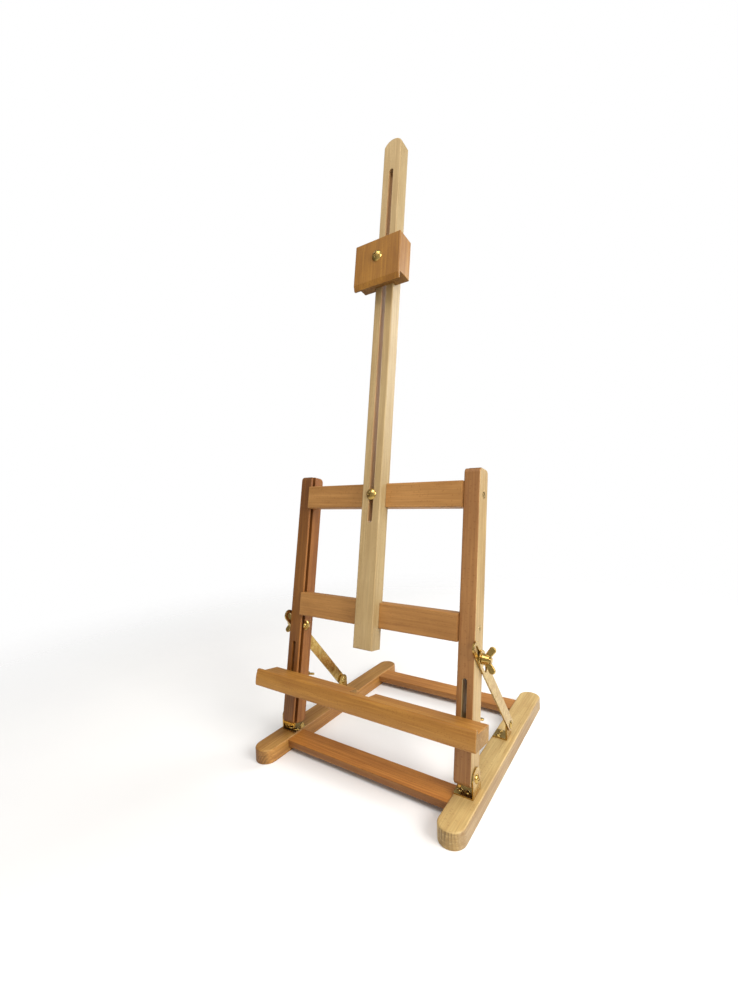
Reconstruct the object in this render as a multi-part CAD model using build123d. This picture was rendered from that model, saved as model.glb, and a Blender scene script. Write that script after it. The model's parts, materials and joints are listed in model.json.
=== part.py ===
from build123d import *
import math
import os

# Tabletop easel with an H-shaped upright frame that leans back on two base runners.
# Millimetres. +X right, +Y back, +Z up. The origin is on the floor under the middle of the base.

# ---- driving dimensions: base -------------------------------------------------------------
BASE_WIDTH = 280.0            # over the two runners
RUNNER_LENGTH = 320.0
RUNNER_WIDTH = 29.0
RUNNER_HEIGHT = 17.4
RUNNER_EASE = 2.0             # rounding of the long edges
RAIL_DEPTH = 30.0             # flat rails that join the runners
RAIL_THICKNESS = 9.0
RAIL_BOTTOM = 6.95            # height of a rail's underside
FRONT_RAIL_Y = -107.8         # centre line of the front rail
REAR_RAIL_Y = 112.0
DOWEL_RADIUS = 2.5
DOWEL_DEPTH = 15.0            # into each of the two pieces
DOWEL_OFFSET = 10.0           # either side of the rail's centre line

# ---- driving dimensions: upright frame ----------------------------------------------------
LEAN_DEG = 10.1               # lean back from vertical as stored
FOOT_Y = -114.6               # front face of the stiles at the height of the runners' tops
STILE_INNER_X = 112.5
STILE_OUTER_X = 131.5
STILE_DEPTH = 25.3
STILE_TOP = 345.0             # heights along the stile, from the runners' tops
STILE_BOTTOM = 12.3
STILE_EASE = 1.5
STILE_CORNER = 5.8            # rounding of a stile's four corners, seen from the side
HINGE_UP = 19.5               # hinge centre along the stile
GROOVE_FRONT = 2.8            # groove in the stiles' inner faces
GROOVE_WIDTH = 5.2
GROOVE_DEPTH = 4.5
CROSSBAR_FRONT = -4.0
CROSSBAR_BACK = 16.0
CROSSBAR_HEIGHT = 30.0
CROSSBAR_EASE = 1.5
LOWER_CROSSBAR_UP = 170.0     # centre heights
UPPER_CROSSBAR_UP = 315.0

# ---- driving dimensions: tray, mast and top clamp -----------------------------------------
TRAY_LENGTH = 298.0
TRAY_BOTTOM = 63.3
TRAY_SHELF = 80.2             # where the canvas stands
TRAY_LIP_TOP = 84.0
TRAY_LIP_BACK = -32.4         # the canvas stands behind this
TRAY_NOSE = -38.2             # foremost line of the bulging front
TRAY_NOSE_UP = 71.0
TRAY_FRONT_TOP = -36.6        # where the front meets the lip's top, before rounding
TRAY_FRONT_BOTTOM = -37.4
TRAY_BOLT_X = 121.5
TRAY_BOLT_UP = 71.0
TRAY_TRAVEL = 45.0
MAST_WIDTH = 26.9
MAST_FRONT = -16.0
MAST_DEPTH = 19.8
MAST_BOTTOM = 130.0
MAST_SHOULDER = 795.0         # where the arched top begins
MAST_CROWN = 803.4
MAST_EASE = 1.6
MAST_SLOT_BOTTOM = 280.0
MAST_SLOT_TOP = 758.0
SLOT_WIDTH = 6.6
BLOCK_WIDTH = 67.5
BLOCK_FRONT = -37.2
BLOCK_BACK = -10.0
BLOCK_TOP = 640.6
BLOCK_NOTCH = 588.3           # underside that bears on the canvas
BLOCK_LIP_BOTTOM = 579.0
BLOCK_LIP_BACK = -32.6
BLOCK_BEVEL_UP = 586.0        # where the lip's front begins to slope back
BLOCK_BEVEL_DEPTH = 2.2
BLOCK_EASE = 1.1
CLAMP_BOLT_UP = 618.0

# ---- driving dimensions: tilt stays and hardware ------------------------------------------
STAY_ARM = 120.0              # hinge to stay bolt, and hinge to stay bracket: equal arms
STAY_THICKNESS = 2.0
STAY_WIDTH = 15.0
STAY_INNER_X = 132.0
STAY_SLOT_START = 132.0       # slot centres, measured along the stay from its bracket pivot
STAY_SLOT_END = 173.0
BRACKET_STEEL = 1.5
HINGE_EAR_RADIUS = 10.8
STAY_STEEL = 2.0
STAY_BRACKET_EAR_RADIUS = 9.0
BOLT_RADIUS = 3.0
TRAY_BOLT_RADIUS = 2.5
RUNNING_GAP = 0.05            # radial, between a shank and its hole
SLIDING_GAP = 0.3             # between faces that slide past each other
WASHER_STEEL = 1.4

# ---- derived places -----------------------------------------------------------------------
RUNNER_X = BASE_WIDTH / 2 - RUNNER_WIDTH / 2
RUNNER_INNER_X = BASE_WIDTH / 2 - RUNNER_WIDTH
STILE_MID_X = (STILE_INNER_X + STILE_OUTER_X) / 2
STILE_MID_N = STILE_DEPTH / 2
MAST_BACK = MAST_FRONT + MAST_DEPTH

# The lean frame: X across, Y back from the stiles' front faces, Z up along the stiles.
LEAN = Location((0, FOOT_Y, RUNNER_HEIGHT), (-LEAN_DEG, 0, 0))
HINGE = (LEAN * Location((0, STILE_MID_N, HINGE_UP))).position
STAY_BRACKET_Y = HINGE.Y + STAY_ARM
STAY_BOLT_UP = HINGE_UP + STAY_ARM


HUB_SHARE = 0.55              # of a wing nut's height, taken by its hub
RECESS_TAPER = 8.0            # degrees, the walls of a driver socket


# ---- helpers ------------------------------------------------------------------------------
def block(x0, x1, y0, y1, z0, z1):
    """A box between two corners."""
    centre = ((x0 + x1) / 2, (y0 + y1) / 2, (z0 + z1) / 2)
    return Pos(*centre) * Box(x1 - x0, y1 - y0, z1 - z0)


def rod(start, direction, radius, length):
    """A cylinder from start along direction."""
    return Plane(origin=start, z_dir=direction) * Cylinder(
        radius, length, align=(Align.CENTER, Align.CENTER, Align.MIN)
    )


def dome(start, direction, radius, height):
    """A spherical cap standing on start, bulging along direction."""
    ball = (radius**2 + height**2) / (2 * height)
    cap = Pos(0, 0, height - ball) * Sphere(ball)
    keep = Pos(0, 0, height / 2) * Cylinder(radius + 1, height)
    return Plane(origin=start, z_dir=direction) * (cap & keep)


def both_sides(piece):
    """A group of a right-hand piece and its mirror image."""
    return Compound(children=[piece, mirror(piece, about=Plane.YZ)])


def export(piece, node):
    """Write one sub-part to its own STEP file."""
    piece.label = node
    export_step(piece, os.path.join("parts", node + ".step"))


def export_pair(piece, stem):
    """Write a right-hand piece and its mirrored left-hand twin."""
    export(piece, stem + "_right")
    export(mirror(piece, about=Plane.YZ), stem + "_left")


def long_edges(piece, axis):
    """The straight edges that run along an axis."""
    return piece.edges().filter_by(axis)


def washer(start, direction, outer_radius, bolt_radius):
    """A flat washer standing on start."""
    ring = rod(start, direction, outer_radius, WASHER_STEEL)
    return ring - rod(start, direction, bolt_radius + RUNNING_GAP, WASHER_STEEL)


def cross_recess(top, inward, half_width, depth):
    """The four-pointed driver socket in a screw head whose highest point is top."""
    plane = Plane(origin=top, z_dir=inward)
    slot_width = 0.34 * half_width
    bars = Rectangle(2 * half_width, slot_width) + Rectangle(slot_width, 2 * half_width)
    return extrude(plane * bars, depth, taper=RECESS_TAPER)


def pan_head(start, direction, radius, height):
    """A domed head with a cross recess, standing on start and facing along direction."""
    away = Vector(*direction)
    top = Vector(*start) + away * height
    return dome(start, direction, radius, height) - cross_recess(top, -away, 0.55 * radius, 0.5 * height)


def pan_screw(start, direction, radius, head_radius, head_height, length):
    """A wood screw: start is under the head, and the shank runs along direction."""
    away = Vector(*direction) * -1
    return pan_head(start, away, head_radius, head_height) + rod(start, direction, radius, length)


def wing_nut(start, direction, up, bolt_radius, span, height, hub_radius):
    """A cast wing nut seated on start, with its two wings in the plane of direction and up."""
    hub_height = HUB_SHARE * height
    tip_radius = 0.26 * height
    hub = Cone(
        hub_radius, 0.78 * hub_radius, hub_height, align=(Align.CENTER, Align.CENTER, Align.MIN)
    )
    hub = fillet(hub.edges().filter_by(GeomType.CIRCLE), 0.08 * hub_radius)
    root = Pos(0.45 * hub_radius, 0.36 * height) * Circle(0.22 * height)
    tip = Pos(span / 2 - tip_radius, height - tip_radius) * Circle(tip_radius)
    outline = make_hull(root.edges() + tip.edges())
    wing = extrude(Plane.XZ * outline, 0.055 * span, both=True)
    wing = fillet(wing.edges(), 0.035 * span)
    nut = hub + wing + mirror(wing, about=Plane.YZ)
    nut -= Cylinder(bolt_radius + RUNNING_GAP, 3 * height)
    return Plane(origin=start, x_dir=up, z_dir=direction) * nut


# ---- base ---------------------------------------------------------------------------------
PAN_RADIUS = 3.2
PAN_HEIGHT = 1.8
SCREW_RADIUS = 1.5
SCREW_LENGTH = 12.0
HINGE_SCREW_XS = (116.0, 124.6)   # the hinge bracket's screws stand side by side
HINGE_SCREW_Y_SHIFT = -3.3    # in front of the hinge line, clear of the rail's dowels
STAY_SCREW_X = 119.0
STAY_SCREW_OFFSET = 5.0
DOWN = (0, 0, -1)

hinge_screw_tops = [
    (x, HINGE.Y + HINGE_SCREW_Y_SHIFT, RUNNER_HEIGHT + BRACKET_STEEL) for x in HINGE_SCREW_XS
]
stay_screw_tops = [
    (STAY_SCREW_X, STAY_BRACKET_Y + side * STAY_SCREW_OFFSET, RUNNER_HEIGHT + STAY_STEEL)
    for side in (-1, 1)
]
dowel_height = RAIL_BOTTOM + RAIL_THICKNESS / 2
dowel_starts = [
    (RUNNER_INNER_X - DOWEL_DEPTH, rail_y + side * DOWEL_OFFSET, dowel_height)
    for rail_y in (FRONT_RAIL_Y, REAR_RAIL_Y)
    for side in (-1, 1)
]


def dowel(start, extra_radius=0.0, extra_length=0.0):
    """A dowel across the joint between a rail and the right runner."""
    x, y, z = start
    return rod((x - extra_length, y, z), (1, 0, 0), DOWEL_RADIUS + extra_radius,
               2 * (DOWEL_DEPTH + extra_length))


def make_runner():
    """A runner with half-round ends in plan, drilled for its dowels and screws."""
    plan = Pos(RUNNER_X, 0) * Rot(0, 0, 90) * SlotOverall(RUNNER_LENGTH, RUNNER_WIDTH)
    piece = extrude(plan, RUNNER_HEIGHT)
    piece = fillet(piece.edges().group_by(Axis.Z)[-1], RUNNER_EASE)
    piece = fillet(piece.edges().group_by(Axis.Z)[0], RUNNER_EASE / 2)
    for start in dowel_starts:
        piece -= dowel(start, RUNNING_GAP, 0.5)
    for top in hinge_screw_tops + stay_screw_tops:
        piece -= rod(top, DOWN, SCREW_RADIUS + RUNNING_GAP, SCREW_LENGTH + 0.5)
    return piece


def make_rail(rail_y):
    """A flat rail between the runners."""
    piece = block(-RUNNER_INNER_X, RUNNER_INNER_X, rail_y - RAIL_DEPTH / 2, rail_y + RAIL_DEPTH / 2,
                  RAIL_BOTTOM, RAIL_BOTTOM + RAIL_THICKNESS)
    piece = fillet(long_edges(piece, Axis.X), 1.2)
    for start in dowel_starts:
        hole = dowel(start, RUNNING_GAP, 0.5)
        piece -= hole
        piece -= mirror(hole, about=Plane.YZ)
    return piece


# ---- hinge --------------------------------------------------------------------------------
EAR_X = 132.0                 # the ear's face towards the stile
FOOT_INNER_X = 111.2
FOOT_LIP_WIDTH = 6.5          # low turned-up lip at the foot's inner end
FOOT_LIP_HEIGHT = 8.0
FOOT_LIP_Y = HINGE.Y + 3.5
HINGE_HEAD_RADIUS = 4.9
HINGE_HEAD_HEIGHT = 2.8
HINGE_SHANK_IN_STILE = 14.0
BEND_SHARE = 0.9              # outer radius of a bend, in thicknesses of its steel


def ear(x0, thickness, centre, radius):
    """An upright plate across X with a round top, from the runner up."""
    plate = block(x0, x0 + thickness, centre[0] - radius, centre[0] + radius, RUNNER_HEIGHT, centre[1])
    return plate + rod((x0, centre[0], centre[1]), (1, 0, 0), radius, thickness)


def make_hinge_bracket():
    """An angle bracket screwed to the runner under the stile, its ear outside the stile."""
    centre = (HINGE.Y, HINGE.Z)
    piece = block(FOOT_INNER_X, EAR_X + BRACKET_STEEL,
                  HINGE.Y - HINGE_EAR_RADIUS, HINGE.Y + HINGE_EAR_RADIUS,
                  RUNNER_HEIGHT, RUNNER_HEIGHT + BRACKET_STEEL)
    piece += ear(EAR_X, BRACKET_STEEL, centre, HINGE_EAR_RADIUS)
    lip_centre = (FOOT_LIP_Y, RUNNER_HEIGHT + FOOT_LIP_HEIGHT - FOOT_LIP_WIDTH / 2)
    piece += ear(FOOT_INNER_X, BRACKET_STEEL, lip_centre, FOOT_LIP_WIDTH / 2)
    bends = long_edges(piece, Axis.Y).group_by(Axis.Z)[0]
    piece = fillet(bends, BEND_SHARE * BRACKET_STEEL)
    piece -= rod((0, *centre), (1, 0, 0), BOLT_RADIUS + RUNNING_GAP, BASE_WIDTH)
    for top in hinge_screw_tops:
        piece -= rod(top, DOWN, SCREW_RADIUS + RUNNING_GAP, SCREW_LENGTH)
    return piece


def make_hinge_screw():
    """A shouldered pan-head screw through the ear into the stile."""
    head = (EAR_X + BRACKET_STEEL, HINGE.Y, HINGE.Z)
    shank_end = STILE_OUTER_X - HINGE_SHANK_IN_STILE
    return pan_screw(head, (-1, 0, 0), BOLT_RADIUS, HINGE_HEAD_RADIUS, HINGE_HEAD_HEIGHT,
                     head[0] - shank_end)


# ---- stays --------------------------------------------------------------------------------
STAY_BRACKET_FOOT_X = 113.0
STAY_BRACKET_EAR_X = 131.6    # outer face of the ear
RIVET_HEAD_RADIUS = 5.0
RIVET_HEAD_HEIGHT = 1.8


def make_stay_bracket():
    """An angle bracket on the runner that carries the stay's pivot."""
    centre = (STAY_BRACKET_Y, HINGE.Z)
    foot = block(STAY_BRACKET_FOOT_X, STAY_BRACKET_EAR_X,
                 STAY_BRACKET_Y - STAY_BRACKET_EAR_RADIUS, STAY_BRACKET_Y + STAY_BRACKET_EAR_RADIUS,
                 RUNNER_HEIGHT, RUNNER_HEIGHT + STAY_STEEL)
    piece = foot + ear(STAY_BRACKET_EAR_X - STAY_STEEL, STAY_STEEL, centre, STAY_BRACKET_EAR_RADIUS)
    corner = long_edges(piece, Axis.Y).group_by(Axis.Z)[0].sort_by(Axis.X)[-1]
    piece = fillet(corner, BEND_SHARE * STAY_STEEL)
    piece -= rod((0, *centre), (1, 0, 0), BOLT_RADIUS + RUNNING_GAP, BASE_WIDTH)
    for top in stay_screw_tops:
        piece -= rod(top, DOWN, SCREW_RADIUS + RUNNING_GAP, SCREW_LENGTH)
    return piece


def make_stay_rivet():
    """A shouldered rivet through the bracket's ear and the stay."""
    inner = (STAY_BRACKET_EAR_X - STAY_STEEL, STAY_BRACKET_Y, HINGE.Z)
    outer = (STAY_INNER_X + STAY_THICKNESS + SLIDING_GAP, STAY_BRACKET_Y, HINGE.Z)
    shank = rod(inner, (1, 0, 0), BOLT_RADIUS, outer[0] - inner[0])
    return (shank + dome(inner, (-1, 0, 0), RIVET_HEAD_RADIUS, RIVET_HEAD_HEIGHT)
            + dome(outer, (1, 0, 0), RIVET_HEAD_RADIUS, RIVET_HEAD_HEIGHT))


def make_stay():
    """A slotted steel strip from the bracket's rivet up past the stile's bolt."""
    strip = SlotCenterToCenter(STAY_SLOT_END, STAY_WIDTH)
    strip = Pos(STAY_SLOT_END / 2, 0) * strip
    slot_middle = (STAY_SLOT_START + STAY_SLOT_END) / 2
    slot = Pos(slot_middle, 0) * SlotCenterToCenter(STAY_SLOT_END - STAY_SLOT_START, SLOT_WIDTH)
    flat = strip - slot - Circle(BOLT_RADIUS + RUNNING_GAP)
    bolt = (LEAN * Location((0, STILE_MID_N, STAY_BOLT_UP))).position
    along = Vector(0, bolt.Y - STAY_BRACKET_Y, bolt.Z - HINGE.Z)
    plane = Plane(origin=(STAY_INNER_X, STAY_BRACKET_Y, HINGE.Z), x_dir=along, z_dir=(1, 0, 0))
    return plane * extrude(flat, STAY_THICKNESS)


# ---- upright frame (lean frame coordinates) -----------------------------------------------
CROSSBAR_SCREW_RADIUS = 2.2
CROSSBAR_SCREW_LENGTH = 48.0
CROSSBAR_SCREW_HEAD = 4.2
CROSSBAR_SCREW_SINK = 2.6     # depth of the countersunk head
DRILL_OVERRUN = 0.5
STAY_HEAD_RADIUS = 6.5
STAY_HEAD_HEIGHT = 3.2
M6_WASHER_RADIUS = 9.0


def crossbar_screw_body(up, extra=0.0, extra_length=0.0):
    """The outer form of a countersunk screw through the right stile into a crossbar's end."""
    head = (STILE_OUTER_X, STILE_MID_N, up)
    plane = Plane(origin=head, z_dir=(-1, 0, 0))
    cone = plane * Cone(CROSSBAR_SCREW_HEAD + extra, CROSSBAR_SCREW_RADIUS + extra, CROSSBAR_SCREW_SINK,
                        align=(Align.CENTER, Align.CENTER, Align.MIN))
    shank = rod(head, (-1, 0, 0), CROSSBAR_SCREW_RADIUS + extra, CROSSBAR_SCREW_LENGTH + extra_length)
    return cone + shank


def make_crossbar_screw(up):
    """The countersunk screw with its cross recess."""
    head = (STILE_OUTER_X, STILE_MID_N, up)
    return crossbar_screw_body(up) - cross_recess(head, (-1, 0, 0), 0.6 * CROSSBAR_SCREW_HEAD, 1.6)


def make_stile():
    """A stile on the hinge, grooved inside and slotted for the tray bolt."""
    shaft = Rectangle(STILE_DEPTH, STILE_TOP - STILE_BOTTOM)
    shaft = Pos(STILE_MID_N, (STILE_BOTTOM + STILE_TOP) / 2) * fillet(shaft.vertices(), STILE_CORNER)
    side = Plane(origin=(STILE_INNER_X, 0, 0), x_dir=(0, 1, 0), z_dir=(1, 0, 0))
    piece = extrude(side * shaft, STILE_OUTER_X - STILE_INNER_X)
    outline = piece.edges().group_by(Axis.X)
    piece = fillet(outline[0] + outline[-1], STILE_EASE)
    piece -= block(STILE_INNER_X, STILE_INNER_X + GROOVE_DEPTH,
                   GROOVE_FRONT, GROOVE_FRONT + GROOVE_WIDTH, 0, STILE_TOP)
    slot_length = TRAY_TRAVEL + 2 * SLIDING_GAP
    slot = Rot(0, 0, 90) * SlotCenterToCenter(slot_length, 2 * (TRAY_BOLT_RADIUS + SLIDING_GAP))
    face = Plane(origin=(TRAY_BOLT_X, 0, TRAY_BOLT_UP + TRAY_TRAVEL / 2), x_dir=(1, 0, 0), z_dir=(0, -1, 0))
    piece -= extrude(face * slot, -STILE_DEPTH)
    piece -= rod((STILE_OUTER_X, STILE_MID_N, HINGE_UP), (-1, 0, 0), BOLT_RADIUS + RUNNING_GAP,
                 HINGE_SHANK_IN_STILE + DRILL_OVERRUN)
    piece -= rod((0, STILE_MID_N, STAY_BOLT_UP), (1, 0, 0), BOLT_RADIUS + RUNNING_GAP, BASE_WIDTH)
    for up in (LOWER_CROSSBAR_UP, UPPER_CROSSBAR_UP):
        piece -= crossbar_screw_body(up, RUNNING_GAP, DRILL_OVERRUN)
    return piece


def make_crossbar(up, bolt_hole):
    """A crossbar with a tongue in each stile's groove and a notch that guides the mast."""
    low = up - CROSSBAR_HEIGHT / 2
    high = up + CROSSBAR_HEIGHT / 2
    piece = block(-STILE_INNER_X, STILE_INNER_X, CROSSBAR_FRONT, CROSSBAR_BACK, low, high)
    piece = fillet(long_edges(piece, Axis.X), CROSSBAR_EASE)
    tongue_x = STILE_INNER_X + GROOVE_DEPTH - SLIDING_GAP
    piece += block(-tongue_x, tongue_x, GROOVE_FRONT + RUNNING_GAP,
                   GROOVE_FRONT + GROOVE_WIDTH - RUNNING_GAP, low, high)
    half_notch = MAST_WIDTH / 2 + SLIDING_GAP
    piece -= block(-half_notch, half_notch, CROSSBAR_FRONT, MAST_BACK + SLIDING_GAP, low, high)
    screw_hole = crossbar_screw_body(up, RUNNING_GAP, DRILL_OVERRUN)
    piece -= screw_hole
    piece -= mirror(screw_hole, about=Plane.YZ)
    if bolt_hole:
        piece -= rod((0, MAST_FRONT, up), (0, 1, 0), BOLT_RADIUS + RUNNING_GAP, 2 * STILE_DEPTH)
    return piece


def make_mast():
    """The slotted mast with its arched top."""
    half = MAST_WIDTH / 2
    sides = Polyline((-half, MAST_SHOULDER), (-half, MAST_BOTTOM), (half, MAST_BOTTOM),
                     (half, MAST_SHOULDER))
    arch = ThreePointArc((half, MAST_SHOULDER), (0, MAST_CROWN), (-half, MAST_SHOULDER))
    face = Plane(origin=(0, MAST_FRONT, 0), x_dir=(1, 0, 0), z_dir=(0, -1, 0))
    piece = extrude(face * make_face(sides + arch), -MAST_DEPTH)
    outline = piece.edges().group_by(Axis.Y)
    piece = fillet(outline[0] + outline[-1], MAST_EASE)
    slot_middle = (MAST_SLOT_BOTTOM + MAST_SLOT_TOP) / 2
    slot = Pos(0, slot_middle) * Rot(0, 0, 90) * SlotOverall(MAST_SLOT_TOP - MAST_SLOT_BOTTOM, SLOT_WIDTH)
    return piece - extrude(face * slot, -MAST_DEPTH)


# ---- tray ---------------------------------------------------------------------------------
TRAY_LIP_ROUND = 2.6
TRAY_UNDER_ROUND = 2.4
TRAY_LIP_EDGE = 0.8
TRAY_BACK_ROUND = 1.0
TRAY_END_EASE = 1.0
TRAY_BOLT_EMBED = 22.0


def make_tray():
    """A bull-nosed ledge with a low lip, notched behind so the mast can pass it."""
    back = -SLIDING_GAP
    under = (TRAY_FRONT_BOTTOM, TRAY_BOTTOM)
    lip_front = (TRAY_FRONT_TOP, TRAY_LIP_TOP)
    lip_back = (TRAY_LIP_BACK, TRAY_LIP_TOP)
    front = ThreePointArc(under, (TRAY_NOSE, TRAY_NOSE_UP), lip_front)
    rest = Polyline(lip_front, lip_back, (TRAY_LIP_BACK, TRAY_SHELF),
                    (back, TRAY_SHELF), (back, TRAY_BOTTOM), under)
    profile = make_face(front + rest)
    for corner, radius in ((under, TRAY_UNDER_ROUND), (lip_front, TRAY_LIP_ROUND), (lip_back, TRAY_LIP_EDGE)):
        vertex = profile.vertices().sort_by_distance((*corner, 0))[0]
        profile = fillet(vertex, radius)
    back_corners = profile.vertices().group_by(Axis.X)[-1]
    profile = fillet(back_corners, TRAY_BACK_ROUND)
    side = Plane(origin=(-TRAY_LENGTH / 2, 0, 0), x_dir=(0, 1, 0), z_dir=(1, 0, 0))
    piece = extrude(side * profile, TRAY_LENGTH)
    ends = piece.edges().group_by(Axis.X)
    piece = fillet(ends[0] + ends[-1], TRAY_END_EASE)
    half_notch = MAST_WIDTH / 2 + 2 * SLIDING_GAP
    piece -= block(-half_notch, half_notch, MAST_FRONT - 2 * SLIDING_GAP, 0, TRAY_BOTTOM, TRAY_LIP_TOP)
    for side_x in (-TRAY_BOLT_X, TRAY_BOLT_X):
        piece -= rod((side_x, 0, TRAY_BOLT_UP), (0, -1, 0), TRAY_BOLT_RADIUS + RUNNING_GAP,
                     TRAY_BOLT_EMBED + 0.5)
    return piece


# ---- top clamp ----------------------------------------------------------------------------
CLAMP_HEAD_RADIUS = 7.6
CLAMP_HEAD_HEIGHT = 4.2
MAST_HEAD_RADIUS = 7.0
MAST_HEAD_HEIGHT = 3.4
BACK = (0, 1, 0)
OUT = (1, 0, 0)
UP = (0, 0, 1)


def make_clamp_block():
    """A block that rides on the mast, with a bevelled lip that hooks over the canvas."""
    outline = Polyline(
        (BLOCK_BACK, BLOCK_NOTCH), (BLOCK_BACK, BLOCK_TOP), (BLOCK_FRONT, BLOCK_TOP),
        (BLOCK_FRONT, BLOCK_BEVEL_UP), (BLOCK_FRONT + BLOCK_BEVEL_DEPTH, BLOCK_LIP_BOTTOM),
        (BLOCK_LIP_BACK, BLOCK_LIP_BOTTOM), (BLOCK_LIP_BACK, BLOCK_NOTCH), close=True)
    side = Plane(origin=(-BLOCK_WIDTH / 2, 0, 0), x_dir=(0, 1, 0), z_dir=(1, 0, 0))
    piece = extrude(side * make_face(outline), BLOCK_WIDTH)
    ends = piece.edges().group_by(Axis.X)
    piece = fillet(ends[0] + ends[-1], BLOCK_EASE)
    half_channel = MAST_WIDTH / 2 + SLIDING_GAP
    piece -= block(-half_channel, half_channel, MAST_FRONT - SLIDING_GAP, 0, BLOCK_NOTCH - 1, BLOCK_TOP)
    bolt_hole_length = BLOCK_BACK - BLOCK_FRONT
    return piece - rod((0, BLOCK_FRONT, CLAMP_BOLT_UP), BACK, BOLT_RADIUS + RUNNING_GAP, bolt_hole_length)


def make_slot_bolt(head_n, up, head_radius, head_height, tail_n):
    """A pan-head bolt from front to back, head at head_n and tail at tail_n."""
    return pan_screw((0, head_n, up), BACK, BOLT_RADIUS, head_radius, head_height, tail_n - head_n)


# ---- write every sub-part -----------------------------------------------------------------
os.makedirs("parts", exist_ok=True)
SEAT = 0.2                    # between a wing nut and its washer
M6_WING = (BOLT_RADIUS, 28.0, 14.0, 6.0)
TRAY_WING = (TRAY_BOLT_RADIUS, 20.0, 10.5, 4.8)
TRAY_WASHER_RADIUS = 7.0
TAIL = 2.0                    # how far a bolt stands out of its wing nut's hub

# base
export_pair(make_runner(), "runner")
export(make_rail(FRONT_RAIL_Y), "front_rail")
export(make_rail(REAR_RAIL_Y), "rear_rail")
export(both_sides(Compound(children=[dowel(start) for start in dowel_starts])), "rail_dowels")
export_pair(make_hinge_bracket(), "hinge_bracket")
bracket_screws = [
    pan_screw(top, DOWN, SCREW_RADIUS, PAN_RADIUS, PAN_HEIGHT, SCREW_LENGTH) for top in hinge_screw_tops
]
export(both_sides(Compound(children=bracket_screws)), "hinge_bracket_screws")
export(both_sides(make_hinge_screw()), "hinge_screws")
export_pair(make_stay_bracket(), "stay_bracket")
stay_screws = [
    pan_screw(top, DOWN, SCREW_RADIUS, PAN_RADIUS, PAN_HEIGHT, SCREW_LENGTH) for top in stay_screw_tops
]
export(both_sides(Compound(children=stay_screws)), "stay_bracket_screws")
export(both_sides(make_stay_rivet()), "stay_rivets")
export_pair(make_stay(), "stay")

# upright frame
export_pair(LEAN * make_stile(), "stile")
export(LEAN * make_crossbar(LOWER_CROSSBAR_UP, False), "lower_crossbar")
export(LEAN * make_crossbar(UPPER_CROSSBAR_UP, True), "upper_crossbar")
frame_screws = [make_crossbar_screw(up) for up in (LOWER_CROSSBAR_UP, UPPER_CROSSBAR_UP)]
export(LEAN * both_sides(Compound(children=frame_screws)), "crossbar_screws")

# tilt locking bolts on the stiles
stay_head = (STILE_INNER_X, STILE_MID_N, STAY_BOLT_UP)
stay_washer_x = STAY_INNER_X + STAY_THICKNESS + SLIDING_GAP
stay_nut_x = stay_washer_x + WASHER_STEEL + SEAT
stay_tail_x = stay_nut_x + HUB_SHARE * M6_WING[2] + TAIL
stay_bolt = dome(stay_head, (-1, 0, 0), STAY_HEAD_RADIUS, STAY_HEAD_HEIGHT) + rod(
    stay_head, OUT, BOLT_RADIUS, stay_tail_x - STILE_INNER_X)
export(LEAN * both_sides(stay_bolt), "stay_bolts")
stay_washer = washer((stay_washer_x, STILE_MID_N, STAY_BOLT_UP), OUT, M6_WASHER_RADIUS, BOLT_RADIUS)
export(LEAN * both_sides(stay_washer), "stay_washers")
stay_nut = wing_nut((stay_nut_x, STILE_MID_N, STAY_BOLT_UP), OUT, UP, *M6_WING)
export_pair(LEAN * stay_nut, "stay_wing_nut")

# mast and its lock
export(LEAN * make_mast(), "mast")
mast_nut_n = CROSSBAR_BACK + WASHER_STEEL + SEAT
mast_tail = mast_nut_n + HUB_SHARE * M6_WING[2] + TAIL
export(LEAN * make_slot_bolt(MAST_FRONT - SLIDING_GAP, UPPER_CROSSBAR_UP, MAST_HEAD_RADIUS,
                             MAST_HEAD_HEIGHT, mast_tail), "mast_bolt")
export(LEAN * washer((0, CROSSBAR_BACK, UPPER_CROSSBAR_UP), BACK, M6_WASHER_RADIUS, BOLT_RADIUS),
       "mast_washer")
export(LEAN * wing_nut((0, mast_nut_n, UPPER_CROSSBAR_UP), BACK, OUT, *M6_WING), "mast_wing_nut")

# tray and its locks
export(LEAN * make_tray(), "tray")
tray_washer_n = STILE_DEPTH + SLIDING_GAP
tray_nut_n = tray_washer_n + WASHER_STEEL + SEAT
tray_tail = tray_nut_n + HUB_SHARE * TRAY_WING[2] + TAIL
tray_bolt = rod((TRAY_BOLT_X, -TRAY_BOLT_EMBED, TRAY_BOLT_UP), BACK, TRAY_BOLT_RADIUS,
                tray_tail + TRAY_BOLT_EMBED)
export(LEAN * both_sides(tray_bolt), "tray_bolts")
tray_washer = washer((TRAY_BOLT_X, tray_washer_n, TRAY_BOLT_UP), BACK, TRAY_WASHER_RADIUS,
                     TRAY_BOLT_RADIUS)
export(LEAN * both_sides(tray_washer), "tray_washers")
tray_nut = wing_nut((TRAY_BOLT_X, tray_nut_n, TRAY_BOLT_UP), BACK, OUT, *TRAY_WING)
export_pair(LEAN * tray_nut, "tray_wing_nut")

# top clamp and its lock
export(LEAN * make_clamp_block(), "clamp_block")
clamp_washer_n = MAST_BACK + SLIDING_GAP
clamp_nut_n = clamp_washer_n + WASHER_STEEL + SEAT
clamp_tail = clamp_nut_n + HUB_SHARE * M6_WING[2] + TAIL
export(LEAN * make_slot_bolt(BLOCK_FRONT, CLAMP_BOLT_UP, CLAMP_HEAD_RADIUS, CLAMP_HEAD_HEIGHT, clamp_tail),
       "clamp_bolt")
export(LEAN * washer((0, clamp_washer_n, CLAMP_BOLT_UP), BACK, M6_WASHER_RADIUS, BOLT_RADIUS),
       "clamp_washer")
export(LEAN * wing_nut((0, clamp_nut_n, CLAMP_BOLT_UP), BACK, OUT, *M6_WING), "clamp_wing_nut")
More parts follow.
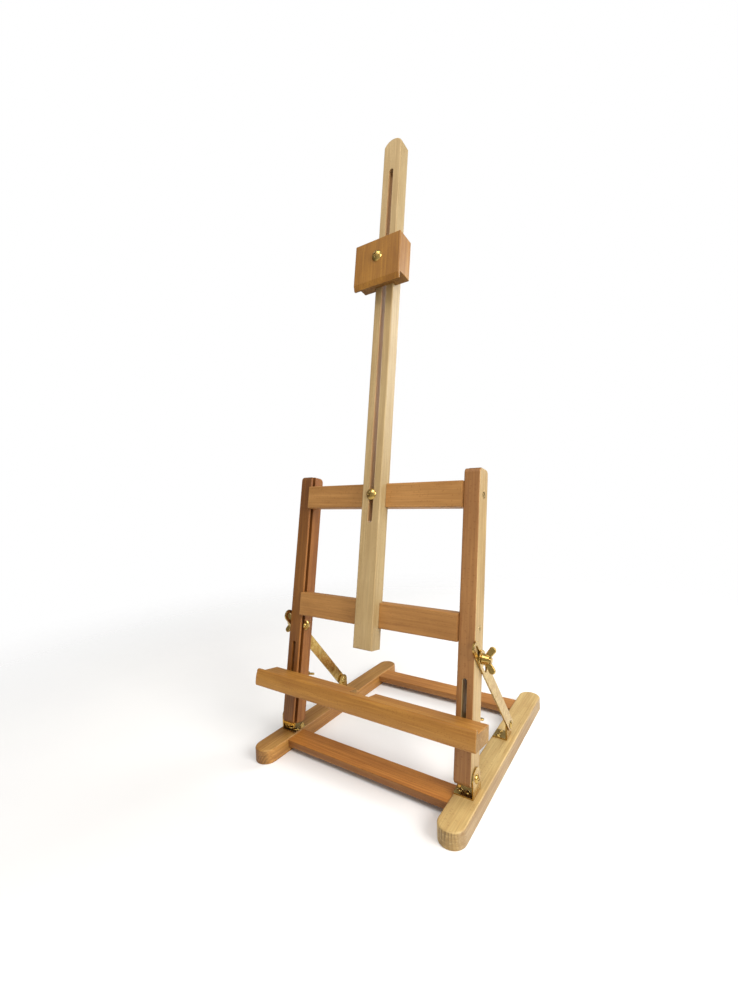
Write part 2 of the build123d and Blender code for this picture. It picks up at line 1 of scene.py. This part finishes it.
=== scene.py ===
import json
import math

import bmesh
import bpy
from mathutils import Euler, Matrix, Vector

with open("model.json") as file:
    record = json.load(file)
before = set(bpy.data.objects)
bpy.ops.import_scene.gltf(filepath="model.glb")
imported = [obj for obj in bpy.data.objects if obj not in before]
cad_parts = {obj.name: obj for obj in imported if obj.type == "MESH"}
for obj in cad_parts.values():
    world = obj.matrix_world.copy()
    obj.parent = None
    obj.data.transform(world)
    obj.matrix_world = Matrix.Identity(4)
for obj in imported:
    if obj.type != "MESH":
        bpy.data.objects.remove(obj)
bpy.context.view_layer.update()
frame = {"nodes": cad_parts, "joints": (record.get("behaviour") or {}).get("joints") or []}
nodes = frame["nodes"]
joints = {joint["name"]: joint for joint in frame["joints"]}

MM = 0.001
BEVEL_SAMPLES = 4             # rays that each material casts to round off the look of its edges

# How the upright frame leans: the slide joints run along the stiles.
ALONG_STILE = Vector(joints["mast_slide"]["axis"])
LEAN = math.atan2(ALONG_STILE.y, ALONG_STILE.z)


# ---- node-tree helpers --------------------------------------------------------------------
class Tree:
    """Builds a material's nodes, one short call each."""

    def __init__(self, name):
        self.material = bpy.data.materials.new(name)
        self.material.use_nodes = True
        self.tree = self.material.node_tree
        self.tree.nodes.clear()
        self.output = self.tree.nodes.new("ShaderNodeOutputMaterial")
        self.shader = self.tree.nodes.new("ShaderNodeBsdfPrincipled")
        self.link(self.shader.outputs["BSDF"], self.output.inputs["Surface"])

    def link(self, source, target):
        self.tree.links.new(source, target)

    def feed(self, value, socket):
        """Put a number, a tuple or another node's output into a socket."""
        if isinstance(value, bpy.types.NodeSocket):
            self.link(value, socket)
        else:
            socket.default_value = value

    def node(self, kind, **settings):
        made = self.tree.nodes.new(kind)
        for key, value in settings.items():
            setattr(made, key, value)
        return made

    def coordinates(self, output="Object"):
        return self.node("ShaderNodeTexCoord").outputs[output]

    def mapped(self, vector, offset=(0, 0, 0), turn=(0, 0, 0), scale=(1, 1, 1)):
        made = self.node("ShaderNodeMapping")
        self.feed(vector, made.inputs["Vector"])
        made.inputs["Location"].default_value = offset
        made.inputs["Rotation"].default_value = turn
        made.inputs["Scale"].default_value = scale
        return made.outputs["Vector"]

    def maths(self, operation, a, b=0.0):
        made = self.node("ShaderNodeMath", operation=operation)
        self.feed(a, made.inputs[0])
        self.feed(b, made.inputs[1])
        return made.outputs[0]

    def total(self, *terms):
        """The sum of some values, each times its weight."""
        result = 0.0
        for value, weight in terms:
            result = self.maths("ADD", result, self.maths("MULTIPLY", value, weight))
        return result

    def vector(self, operation, a, b=(0, 0, 0), output="Vector"):
        made = self.node("ShaderNodeVectorMath", operation=operation)
        self.feed(a, made.inputs[0])
        self.feed(b, made.inputs[1])
        return made.outputs[output]

    def parts(self, vector):
        """The x, y and z of a vector."""
        made = self.node("ShaderNodeSeparateXYZ")
        self.link(vector, made.inputs[0])
        return made.outputs

    def noise(self, vector, rate, detail, roughness, output="Fac"):
        """Noise, drawn as finely along each axis as rate says."""
        made = self.node("ShaderNodeTexNoise")
        self.link(self.mapped(vector, scale=rate), made.inputs["Vector"])
        made.inputs["Scale"].default_value = 1.0
        made.inputs["Detail"].default_value = detail
        made.inputs["Roughness"].default_value = roughness
        return made.outputs[output]

    def cells(self, vector, rate):
        """Voronoi cells, as small along each axis as rate says."""
        made = self.node("ShaderNodeTexVoronoi")
        self.link(self.mapped(vector, scale=rate), made.inputs["Vector"])
        made.inputs["Scale"].default_value = 1.0
        return made

    def ramp(self, value, low, high, out_low=0.0, out_high=1.0):
        """A smooth step from one output to another as a value goes from low to high."""
        made = self.node("ShaderNodeMapRange", interpolation_type="SMOOTHSTEP", clamp=True)
        self.feed(value, made.inputs["Value"])
        for socket, number in zip(("From Min", "From Max", "To Min", "To Max"),
                                  (low, high, out_low, out_high)):
            made.inputs[socket].default_value = number
        return made.outputs["Result"]

    def mix(self, factor, a, b, blend="MIX"):
        made = self.node("ShaderNodeMix", data_type="RGBA", blend_type=blend)
        self.feed(factor, made.inputs[0])
        self.feed(a, made.inputs[6])
        self.feed(b, made.inputs[7])
        return made.outputs[2]

    def mark(self, colour, where, strength, marked):
        """Lay another colour over a colour, as strongly as a mask and a strength say."""
        return self.mix(self.maths("MULTIPLY", where, strength), colour, marked)

    def tint(self, colour, factors):
        """A colour times a factor for each of red, green and blue."""
        return self.mix(1.0, colour, (*factors, 1.0), "MULTIPLY")

    def edges(self, radius, low, high):
        """A normal that rounds the edges off, and a mask of those edges."""
        bevel = self.node("ShaderNodeBevel", samples=BEVEL_SAMPLES)
        bevel.inputs["Radius"].default_value = radius
        rounded = bevel.outputs["Normal"]
        true = self.node("ShaderNodeNewGeometry").outputs["Normal"]
        square_on = self.vector("DOT_PRODUCT", rounded, true, "Value")
        return rounded, self.ramp(square_on, low, high)

    def bump(self, height, strength, distance, normal=None):
        made = self.node("ShaderNodeBump")
        made.inputs["Strength"].default_value = strength
        made.inputs["Distance"].default_value = distance
        self.feed(height, made.inputs["Height"])
        if normal is not None:
            self.link(normal, made.inputs["Normal"])
        return made.outputs["Normal"]


def rgb(red, green, blue):
    """An 8-bit sRGB colour as the linear RGBA that Blender's sockets take."""
    def linear(value):
        share = value / 255
        return share / 12.92 if share <= 0.04045 else ((share + 0.055) / 1.055) ** 2.4
    return (linear(red), linear(green), linear(blue), 1.0)


# ---- beech --------------------------------------------------------------------------------
# Turns that bring a piece's grain onto Z.
GRAIN_TURN = {
    "x": (0.0, -math.pi / 2, 0.0),
    "y": (math.pi / 2, 0.0, 0.0),
    "stile": (LEAN, 0.0, 0.0),
}
SEED_STEP = (0.37, 0.71, 1.13)    # metres from one piece's place in the pattern to the next one's

# The growth rings and the wander of the grain, in metres.
PITH_DISTANCE = 0.085
RING_SPACING = 0.0029
RING_UNEVENNESS = 0.006
WANDER_REACH = (0.012, 0.012, 0.0)

# Noise patterns: how finely each is drawn, per metre, outward from the pith, around it and along
# the grain; then its detail and its roughness.
WANDER = ((11.0, 11.0, 2.4), 2.0, 0.5)
UNEVEN = ((90.0, 22.0, 1.0), 1.0, 0.5)
PRESENCE = ((45.0, 45.0, 7.0), 2.0, 0.5)
FIBRE = ((1500.0, 1500.0, 30.0), 3.0, 0.6)
STREAK = ((380.0, 380.0, 11.0), 3.0, 0.6)
BAND = ((95.0, 95.0, 4.0), 2.0, 0.5)
CLOUD = ((30.0, 30.0, 12.0), 3.0, 0.55)
RAY_LINES = ((70.0, 950.0, 20.0), 2.0, 0.6)

# Cells, per metre in the same three directions.
RAY_PLATES = (180.0, 1250.0, 420.0)
PORES = (2600.0, 2600.0, 90.0)

# Smooth steps: where each begins and ends, and then what it gives there if that isn't 0 and 1.
RING_DARKENS = (0.25, 0.92)
RING_STOPS = (0.92, 1.0, 1.0, 0.0)
RING_COMES_AND_GOES = (0.32, 0.68, 0.15, 1.0)
RAY_OUTLINE = (0.14, 0.40, 1.0, 0.0)
RAYS_KEPT = (0.35, 0.65)
FACES_RAY_ENDS = (0.35, 0.8)
FACES_RAY_SIDES = (0.6, 0.95)
FACES_ALONG_GRAIN = (0.55, 0.9)
FACES_AXIS = (0.5, 0.85)
FACES_SLOT = (0.3, 0.6)
PORE_OUTLINE = (0.12, 0.3, 1.0, 0.0)
PALE_TO_DEEP = (0.34, 0.64)
FIBRE_DARKENS = (0.38, 0.70, 0.0, 0.24)
STREAK_LIGHTENS = (0.30, 0.46, 0.20, 0.0)
RAY_LINE_DARKENS = (0.42, 0.62, 0.0, 0.35)
EDGE_TURNS = (0.985, 0.86)
EDGE_RUBBED = (0.3, 0.62, 0.35, 1.0)
ROUGHNESS_STEP = (0.25, 0.75, 0.42, 0.56)
END_GRAIN_RELIEF = (0.0, 1.0, 1.0, 0.25)

# Marks: each one's colour as a factor on the wood's deep colour, or on its pale one for PALER.
RING_FACTOR = (0.80, 0.72, 0.66)
FIBRE_FACTOR = 0.76
DASH_FACTOR = (0.66, 0.56, 0.50)
SILK_FACTOR = (0.84, 0.76, 0.66)
END_RING_FACTOR = 0.56
RAY_LINE_FACTOR = 0.62
PORE_FACTOR = 0.45
PALER = 1.10

# How strongly the marks show.
RING_STRENGTH = 0.20
FLECK_STRENGTH = 0.46
END_RING_STRENGTH = 0.75
PORE_STRENGTH = 0.45
RUBBED_STRENGTH = 0.30

RUBBED_WIDTH = 1.3 * MM
GRAIN_DEPTH = 0.14 * MM
GRAIN_BUMP = 0.4
SLOT_HALF_WIDTH = 3.5 * MM    # the walls of the mast's slot lie within this of its centre line

PLAIN = (1.0, 1.0, 1.0)
END_TINT = (0.80, 0.74, 0.68)


def shade(colour, factor):
    """An sRGB colour darkened or lightened by one factor, or by three, as linear RGBA."""
    factors = factor if isinstance(factor, tuple) else (factor,) * 3
    return rgb(*(min(255, part * by) for part, by in zip(colour, factors)))


def beech(name, seed, pale, deep, grain, cut, side=PLAIN, top=PLAIN, end=END_TINT, slot=None):
    """Beech with growth rings, fibres, ray flecks and end grain.

    grain names the direction of the fibres, and cut is the angle of the growth rings across the
    section. The other four are tints: side for the faces toward +X, top for those that look up,
    end for those across the fibres, and slot for the walls of a slot up the middle. Apart from the
    usual darker end grain, they stand in for light that the lamps here don't give, and aren't the
    wood's own colour.
    """
    t = Tree(name)
    turn = GRAIN_TURN[grain]
    around = (0.0, 0.0, cut)
    place = tuple(step * seed for step in SEED_STEP)
    straight = t.mapped(t.coordinates(), turn=turn)
    board = t.mapped(straight, offset=place, turn=around)

    # slow wander of the grain along the piece
    drift = t.vector("SUBTRACT", t.noise(board, *WANDER, "Color"), (0.5, 0.5, 0.5))
    bent = t.vector("ADD", board, t.vector("MULTIPLY", drift, WANDER_REACH))

    # growth rings about a pith that lies well outside the piece; x is radial, y is tangential
    pith = t.vector("ADD", bent, (PITH_DISTANCE - place[0], -place[1], 0.0))
    flat = t.vector("MULTIPLY", pith, (1.0, 1.0, 0.0))
    radius = t.vector("LENGTH", flat, output="Value")
    radius = t.total((radius, 1.0), (t.noise(flat, *UNEVEN), RING_UNEVENNESS))
    year = t.maths("FRACT", t.maths("MULTIPLY", radius, 1 / RING_SPACING))
    ring = t.maths("MULTIPLY", t.ramp(year, *RING_DARKENS), t.ramp(year, *RING_STOPS))
    presence = t.noise(board, *PRESENCE)
    ring = t.maths("MULTIPLY", ring, t.ramp(presence, *RING_COMES_AND_GOES))

    # fibres: long along the grain, thin across it
    fibre = t.noise(bent, *FIBRE)
    streak = t.noise(bent, *STREAK)
    band = t.noise(bent, *BAND)
    cloud = t.noise(board, *CLOUD)

    # rays: thin plates that run outward from the pith; fine dark dashes on a face that cuts
    # across them, and broader, fainter and smoother flecks on a face that runs along them
    facing = t.parts(t.mapped(t.mapped(t.coordinates("Normal"), turn=turn), turn=around))
    outward, sideward, lengthwise = (t.maths("ABSOLUTE", part) for part in facing)
    plates = t.cells(bent, RAY_PLATES)
    chosen = t.node("ShaderNodeSeparateColor")
    t.link(plates.outputs["Color"], chosen.inputs[0])
    ray = t.ramp(plates.outputs["Distance"], *RAY_OUTLINE)
    ray = t.maths("MULTIPLY", ray, t.ramp(chosen.outputs[0], *RAYS_KEPT))
    dash = t.maths("MULTIPLY", ray, t.ramp(outward, *FACES_RAY_ENDS))
    silk = t.maths("MULTIPLY", ray, t.ramp(sideward, *FACES_RAY_SIDES))

    # end grain shows where the surface faces along the fibres
    cut_across = t.ramp(lengthwise, *FACES_ALONG_GRAIN)
    pores = t.cells(bent, PORES)
    pore = t.maths("MULTIPLY", t.ramp(pores.outputs["Distance"], *PORE_OUTLINE), cut_across)
    ray_lines = t.noise(bent, *RAY_LINES)

    # colour along the fibres
    tone = t.total((cloud, 0.4), (band, 0.25), (streak, 0.35))
    colour = t.mix(t.ramp(tone, *PALE_TO_DEEP), rgb(*pale), rgb(*deep))
    colour = t.mark(colour, ring, RING_STRENGTH, shade(deep, RING_FACTOR))
    colour = t.mix(t.ramp(fibre, *FIBRE_DARKENS), colour, shade(deep, FIBRE_FACTOR))
    colour = t.mix(t.ramp(streak, *STREAK_LIGHTENS), colour, shade(pale, PALER))
    colour = t.mark(colour, dash, FLECK_STRENGTH, shade(deep, DASH_FACTOR))
    colour = t.mark(colour, silk, FLECK_STRENGTH, shade(deep, SILK_FACTOR))

    # colour across the fibres, before the tints of the other faces; the end tint gives the usual
    # darker end grain, and on the tray and the clamp block it also paints light and shade
    end_colour = t.tint(colour, end)
    end_colour = t.mark(end_colour, ring, END_RING_STRENGTH, shade(deep, END_RING_FACTOR))
    end_colour = t.mix(t.ramp(ray_lines, *RAY_LINE_DARKENS), end_colour,
                       shade(deep, RAY_LINE_FACTOR))

    # painted light and shade: tints on the faces toward +X, on those that look up, and on the walls
    # of the slot
    toward_x, _, toward_z = t.parts(t.coordinates("Normal"))
    colour = t.mix(t.ramp(toward_x, *FACES_AXIS), colour, t.tint(colour, side))
    colour = t.mix(t.ramp(toward_z, *FACES_AXIS), colour, t.tint(colour, top))
    if slot:
        off_centre = t.maths("ABSOLUTE", t.parts(t.coordinates())[0])
        inside = t.maths("LESS_THAN", off_centre, SLOT_HALF_WIDTH)
        slot_light_mask = t.maths("MULTIPLY", inside, t.ramp(t.maths("ABSOLUTE", toward_x), *FACES_SLOT))
        colour = t.mix(slot_light_mask, colour, t.tint(colour, slot))
    colour = t.mix(cut_across, colour, end_colour)
    colour = t.mark(colour, pore, PORE_STRENGTH, shade(deep, PORE_FACTOR))

    # handled edges: rubbed a little paler and smoother
    _, edge = t.edges(RUBBED_WIDTH, *EDGE_TURNS)
    rubbed = t.maths("MULTIPLY", edge, t.ramp(cloud, *EDGE_RUBBED))
    colour = t.mark(colour, rubbed, RUBBED_STRENGTH, shade(pale, PALER))
    t.link(colour, t.shader.inputs["Base Color"])

    rough = t.total((t.ramp(streak, *ROUGHNESS_STEP), 1.0), (cut_across, 0.12), (silk, -0.12),
                    (rubbed, -0.06))
    t.link(rough, t.shader.inputs["Roughness"])
    height = t.total((fibre, 0.55), (streak, 0.45), (dash, -0.4))
    height = t.maths("MULTIPLY", height, t.ramp(cut_across, *END_GRAIN_RELIEF))
    height = t.total((height, 1.0), (pore, -0.5))
    t.link(t.bump(height, GRAIN_BUMP, GRAIN_DEPTH), t.shader.inputs["Normal"])
    t.shader.inputs["Specular IOR Level"].default_value = 0.35
    t.shader.inputs["Coat Weight"].default_value = 0.07
    t.shader.inputs["Coat Roughness"].default_value = 0.34
    return t.material


# Each piece's colours, grain and cut, and its tints; the side, top and slot tints, and the end tints
# of the tray and the clamp block, paint light and shade.
WOOD = {
    # The left runner's pale and deep colours are darkened as painted shade.
    "runner_left": dict(pale=(180, 136, 72), deep=(144, 99, 46), grain="y", cut=0.15,
                        side=(1.10, 1.02, 0.92), end=(0.80, 0.72, 0.66)),
    "runner_right": dict(pale=(206, 179, 120), deep=(180, 146, 90), grain="y", cut=0.12,
                         side=(0.66, 0.64, 0.76), end=(0.80, 0.76, 0.74)),
    "front_rail": dict(pale=(154, 104, 46), deep=(128, 80, 32), grain="x", cut=0.5,
                       top=(1.80, 1.75, 1.60)),
    "rear_rail": dict(pale=(160, 110, 54), deep=(136, 88, 40), grain="x", cut=1.2,
                      top=(1.40, 1.38, 1.30)),
    "rail_dowels": dict(pale=(206, 178, 122), deep=(188, 154, 98), grain="x", cut=0.2),
    # The left stile's pale and deep colours are darkened as painted shade, and its side tint paints
    # the light back on its faces toward +X.
    "stile_left": dict(pale=(138, 90, 38), deep=(110, 66, 26), grain="stile", cut=0.35,
                       side=(1.70, 1.70, 1.70)),
    "stile_right": dict(pale=(164, 117, 68), deep=(138, 93, 50), grain="stile", cut=0.15,
                        side=(1.38, 2.05, 2.80)),
    "lower_crossbar": dict(pale=(180, 130, 72), deep=(154, 106, 54), grain="x", cut=1.1),
    "upper_crossbar": dict(pale=(184, 134, 76), deep=(158, 110, 56), grain="x", cut=0.4),
    "tray": dict(pale=(182, 130, 56), deep=(152, 101, 40), grain="x", cut=0.9,
                 end=(0.90, 1.10, 1.60)),
    "mast": dict(pale=(192, 166, 120), deep=(174, 145, 98), grain="stile", cut=1.35,
                 side=(0.86, 0.90, 0.92), slot=(1.25, 1.02, 0.95)),
    "clamp_block": dict(pale=(168, 118, 46), deep=(140, 92, 32), grain="stile", cut=0.9,
                        side=(0.98, 1.02, 1.05), end=(0.78, 0.82, 0.95)),
}


# ---- yellow-plated steel ------------------------------------------------------------------
# Bolts that show a threaded tail: a wing nut's joint that gives the axis, then the radius, the
# pitch, and whether the node holds a left and a right bolt.
M6 = (3.0 * MM, 0.8 * MM)
M5 = (2.5 * MM, 0.7 * MM)
THREADED = {
    "mast_bolt": ("mast_wing_nut_turn", *M6, False),
    "clamp_bolt": ("clamp_wing_nut_turn", *M6, False),
    "stay_bolts": ("stay_wing_nut_right_turn", *M6, True),
    "tray_bolts": ("tray_wing_nut_right_turn", *M5, True),
}
SHANK_TOLERANCE = 0.05        # share of the radius within which a surface counts as the shank
THREAD_DEPTH = 0.45 * MM

# Noise patterns, as for the beech but along X, Y and Z.
PATCH = ((160.0, 160.0, 160.0), 3.0, 0.6)
HUE = ((420.0, 420.0, 420.0), 2.0, 0.5)
SMUDGE = ((90.0, 90.0, 90.0), 4.0, 0.65)
DRAWN = ((3200.0, 3200.0, 90.0), 2.0, 0.6)
GRIT = ((2500.0, 2500.0, 2500.0), 2.0, 0.6)

# Smooth steps, as for the beech.
LIGHT_TO_DARK = (0.3, 0.7)
TURNS_ORANGE = (0.52, 0.75, 0.0, 0.30)
TURNS_DULL = (0.54, 0.74, 0.0, 0.32)
PLATED_EDGE_TURNS = (0.98, 0.85)
EDGE_WORN = (0.35, 0.6, 0.2, 1.0)
DRAWN_ROUGHNESS = (0.3, 0.7, 0.15, 0.27)
SMUDGE_ROUGHNESS = (0.45, 0.75, 0.0, 0.18)

LIGHT_PLATING = rgb(200, 172, 104)
DARK_PLATING = rgb(174, 140, 72)
ORANGE_PLATING = rgb(188, 140, 84)
DULL_PLATING = rgb(124, 102, 66)
WORN_PLATING = rgb(210, 196, 158)
WORN_STRENGTH = 0.6
WORN_WIDTH = 0.35 * MM
PLATING_BUMP = 0.25
PLATING_DEPTH = 0.04 * MM
PLATING_SEED_STEP = 0.3


def thread_height(t, joint_name, radius, pitch, paired):
    """A helix's height on the shank of a bolt, and nothing elsewhere."""
    middle = Vector(joints[joint_name]["pos_m"])
    axis = Vector(joints[joint_name]["axis"]).normalized()
    across = axis.orthogonal().normalized()
    beside = axis.cross(across)
    place = t.coordinates()
    if paired:
        # fold the left bolt onto the right one
        x, y, z = t.parts(place)
        folded = t.node("ShaderNodeCombineXYZ")
        for part, socket in zip((t.maths("ABSOLUTE", x), y, z), folded.inputs):
            t.link(part, socket)
        place = folded.outputs[0]
    local = t.vector("SUBTRACT", place, tuple(middle))
    along = t.vector("DOT_PRODUCT", local, tuple(axis), "Value")
    first = t.vector("DOT_PRODUCT", local, tuple(across), "Value")
    second = t.vector("DOT_PRODUCT", local, tuple(beside), "Value")
    distance = t.maths("SQRT", t.maths("ADD", t.maths("MULTIPLY", first, first),
                                       t.maths("MULTIPLY", second, second)))
    turn = t.maths("DIVIDE", t.maths("ARCTAN2", second, first), 2 * math.pi)
    helix = t.maths("PINGPONG", t.maths("SUBTRACT", t.maths("DIVIDE", along, pitch), turn), 0.5)
    off_shank = t.maths("ABSOLUTE", t.maths("SUBTRACT", distance, radius))
    on_shank = t.maths("LESS_THAN", off_shank, SHANK_TOLERANCE * radius)
    return t.maths("MULTIPLY", t.maths("MULTIPLY", helix, 2.0), on_shank)


def plated(name, seed, threaded=None):
    """Zinc plating with a thin yellow passivation: patchy hue, drawing lines, smudges, soft edges."""
    t = Tree(name)
    spot = t.mapped(t.coordinates(), offset=(seed, 2.0 * seed, 3.0 * seed))
    patch = t.noise(spot, *PATCH)
    hue = t.noise(spot, *HUE)
    smudge = t.noise(spot, *SMUDGE)
    drawn = t.noise(spot, *DRAWN)
    grit = t.noise(spot, *GRIT)
    colour = t.mix(t.ramp(patch, *LIGHT_TO_DARK), LIGHT_PLATING, DARK_PLATING)
    colour = t.mix(t.ramp(hue, *TURNS_ORANGE), colour, ORANGE_PLATING)
    colour = t.mix(t.ramp(smudge, *TURNS_DULL), colour, DULL_PLATING)

    rounded, edge = t.edges(WORN_WIDTH, *PLATED_EDGE_TURNS)
    worn = t.maths("MULTIPLY", edge, t.ramp(patch, *EDGE_WORN))
    colour = t.mark(colour, worn, WORN_STRENGTH, WORN_PLATING)
    t.link(colour, t.shader.inputs["Base Color"])

    t.shader.inputs["Metallic"].default_value = 1.0
    rough = t.maths("ADD", t.ramp(drawn, *DRAWN_ROUGHNESS), t.ramp(smudge, *SMUDGE_ROUGHNESS))
    t.link(rough, t.shader.inputs["Roughness"])
    height = t.total((drawn, 0.6), (grit, 0.4))
    surface = t.bump(height, PLATING_BUMP, PLATING_DEPTH, rounded)
    if threaded:
        surface = t.bump(thread_height(t, *threaded), 1.0, THREAD_DEPTH, surface)
    t.link(surface, t.shader.inputs["Normal"])
    return t.material


def dress(obj, material):
    """Give an object one material."""
    obj.data.materials.clear()
    obj.data.materials.append(material)


for seed, (node, look) in enumerate(WOOD.items(), start=1):
    dress(nodes[node], beech(node + "_beech", seed, **look))

for seed, node in enumerate(sorted(set(nodes) - set(WOOD)), start=1):
    dress(nodes[node], plated(node + "_plating", PLATING_SEED_STEP * seed, THREADED.get(node)))


# ---- floor, lights and camera -------------------------------------------------------------
FLOOR_RADIUS = 1.3
FADE_START = 0.30             # the floor fades out into the white surroundings from this radius
FADE_END = 1.15               # to this one
FLOOR_SIDES = 96
FLOOR_SPECKLE = ((3.0, 3.0, 3.0), 3.0, 0.5)
FLOOR_LIGHT = rgb(246, 246, 246)
FLOOR_DARK = rgb(243, 243, 244)


def studio_floor():
    """A plain pale round floor whose rim fades away into the white surroundings."""
    mesh = bpy.data.meshes.new("studio_floor")
    shape = bmesh.new()
    bmesh.ops.create_circle(shape, cap_ends=True, cap_tris=True, segments=FLOOR_SIDES,
                            radius=FLOOR_RADIUS)
    shape.to_mesh(mesh)
    shape.free()
    floor = bpy.data.objects.new("studio_floor", mesh)
    bpy.context.scene.collection.objects.link(floor)
    t = Tree("studio_paint")
    speckle = t.ramp(t.noise(t.coordinates(), *FLOOR_SPECKLE), 0.3, 0.7)
    t.link(t.mix(speckle, FLOOR_LIGHT, FLOOR_DARK), t.shader.inputs["Base Color"])
    t.shader.inputs["Roughness"].default_value = 0.9
    t.shader.inputs["Specular IOR Level"].default_value = 0.1
    distance = t.vector("LENGTH", t.coordinates(), output="Value")
    t.link(t.ramp(distance, FADE_START, FADE_END, 1.0, 0.0), t.shader.inputs["Alpha"])
    dress(floor, t.material)


def area_light(name, place, target, size, power, colour):
    """A square soft box that looks at a point and isn't seen itself."""
    data = bpy.data.lights.new(name, "AREA")
    data.shape = "SQUARE"
    data.size = size
    data.energy = power
    data.color = colour
    lamp = bpy.data.objects.new(name, data)
    lamp.location = place
    lamp.rotation_euler = (Vector(target) - Vector(place)).to_track_quat("-Z", "Y").to_euler()
    lamp.visible_camera = False
    bpy.context.scene.collection.objects.link(lamp)


SOFT_SIDE = Vector((0.80, -0.25, 0.55)).normalized()   # where most of the room's light comes from
BRIGHT_WALL = 0.62            # strength of the light from there
DIM_WALL = 0.20               # and from the side opposite
WALL_SPREAD = 0.9             # cosine of the angle to them at which the light stops changing
WHITE = (1.0, 1.0, 1.0, 1.0)
WARM_WHITE = (1.0, 0.985, 0.96, 1.0)


def surroundings():
    """A white room: seen as plain white, and lighting the easel more from the right and above."""
    world = bpy.data.worlds.new("studio_air")
    world.use_nodes = True
    tree = world.node_tree
    tree.nodes.clear()
    output = tree.nodes.new("ShaderNodeOutputWorld")
    either = tree.nodes.new("ShaderNodeMixShader")
    path = tree.nodes.new("ShaderNodeLightPath")
    seen = tree.nodes.new("ShaderNodeBackground")
    lit = tree.nodes.new("ShaderNodeBackground")
    direction = tree.nodes.new("ShaderNodeTexCoord")
    towards = tree.nodes.new("ShaderNodeVectorMath")
    level = tree.nodes.new("ShaderNodeMapRange")
    towards.operation = "DOT_PRODUCT"
    towards.inputs[1].default_value = SOFT_SIDE
    seen.inputs["Color"].default_value = WHITE
    seen.inputs["Strength"].default_value = 1.0
    lit.inputs["Color"].default_value = WARM_WHITE
    level.interpolation_type = "SMOOTHSTEP"
    for socket, value in (("From Min", -WALL_SPREAD), ("From Max", WALL_SPREAD),
                          ("To Min", DIM_WALL), ("To Max", BRIGHT_WALL)):
        level.inputs[socket].default_value = value
    tree.links.new(direction.outputs["Generated"], towards.inputs[0])
    tree.links.new(towards.outputs["Value"], level.inputs["Value"])
    tree.links.new(level.outputs["Result"], lit.inputs["Strength"])
    tree.links.new(path.outputs["Is Camera Ray"], either.inputs["Fac"])
    tree.links.new(lit.outputs["Background"], either.inputs[1])
    tree.links.new(seen.outputs["Background"], either.inputs[2])
    tree.links.new(either.outputs["Shader"], output.inputs["Surface"])
    bpy.context.scene.world = world


CAMERA_PLACE = (0.2980, -0.5252, 0.3374)
CAMERA_TURN = (88.49, 2.08, 33.77)    # degrees about X, Y and Z
LENS = 15.85                          # millimetres, on a sensor 36 mm wide
SENSOR_WIDTH = 36.0


def camera():
    """The camera stands in front of the easel and to its right, a little below half its height."""
    data = bpy.data.cameras.new("camera")
    data.lens = LENS
    data.sensor_width = SENSOR_WIDTH
    data.clip_start = 0.01
    data.clip_end = 50.0
    eye = bpy.data.objects.new("camera", data)
    eye.location = CAMERA_PLACE
    eye.rotation_euler = Euler([math.radians(angle) for angle in CAMERA_TURN], "XYZ")
    bpy.context.scene.collection.objects.link(eye)
    bpy.context.scene.camera = eye


studio_floor()
surroundings()
camera()
area_light("key", place=(1.05, -0.28, 0.72), target=(0, 0, 0.22), size=0.6, power=11.0,
           colour=(1.0, 0.975, 0.93))
area_light("back", place=(0.55, 1.15, 0.85), target=(0, 0, 0.1), size=0.7, power=9.0,
           colour=(1.0, 0.98, 0.95))
area_light("top", place=(0.25, -0.75, 1.75), target=(0, 0, 0.4), size=0.9, power=14.0,
           colour=(1.0, 0.98, 0.95))
bpy.context.scene.view_settings.view_transform = "Standard"
